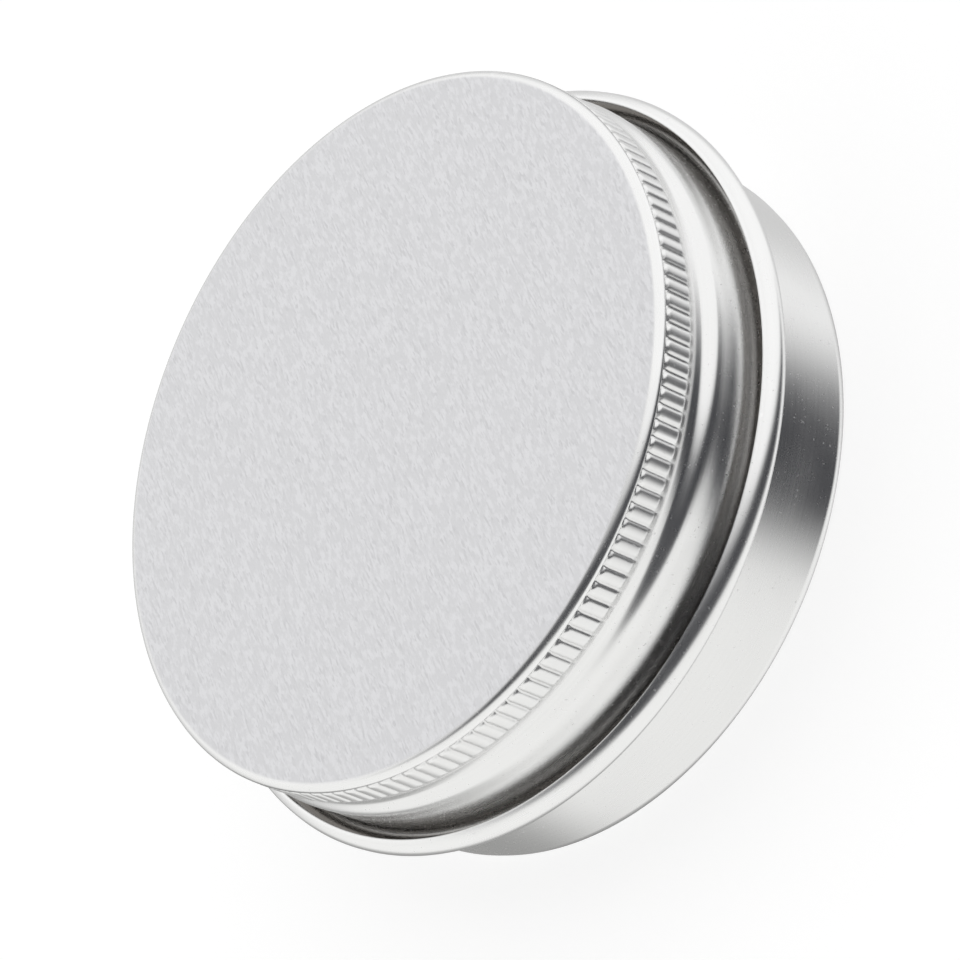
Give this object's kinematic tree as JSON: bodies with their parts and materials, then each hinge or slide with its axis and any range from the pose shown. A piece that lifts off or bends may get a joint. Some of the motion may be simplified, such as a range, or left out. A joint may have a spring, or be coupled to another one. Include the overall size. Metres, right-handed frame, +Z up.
{
  "type": "screw-lid candle tin",
  "caption": "Shallow round aluminium tin with a ribbed screw lid that has a rolled rim, over a threaded base cup with a foam seal.",
  "frame": {"origin": "centre of the flat resting ring under the base cup", "axes": "+Z up along the axis of the tin, from the base to the lid; +X and +Y are any two directions across it"},
  "size_m": [0.083, 0.083, 0.0287],
  "materials": {
    "base_aluminium": "smooth drawn satin, fine rings round the wall",
    "lid_aluminium": "satin top with a fine rolling grain, brighter edge, ribs and bead",
    "seal_foam": "matte closed-cell foam"
  },
  "bodies": {
    "base": {"base_cup": "base_aluminium"},
    "liner": {"lid_liner": "seal_foam"},
    "lid": {"lid_shell": "lid_aluminium"}
  },
  "joints": [
    {"name": "lid_lift", "type": "slide", "parent": "base", "child": "liner", "axis": [0, 0, 1], "range_m": [0, 0.01601]},
    {"name": "lid_turn", "type": "hinge", "parent": "liner", "child": "lid", "pos_m": [0, 0, 0], "axis": [0, 0, 1], "range_deg": [0, 1440]}
  ],
  "couplings": [
    {"joint": "lid_lift", "follows": "lid_turn", "m_per_rad": 0.00063662}
  ]
}
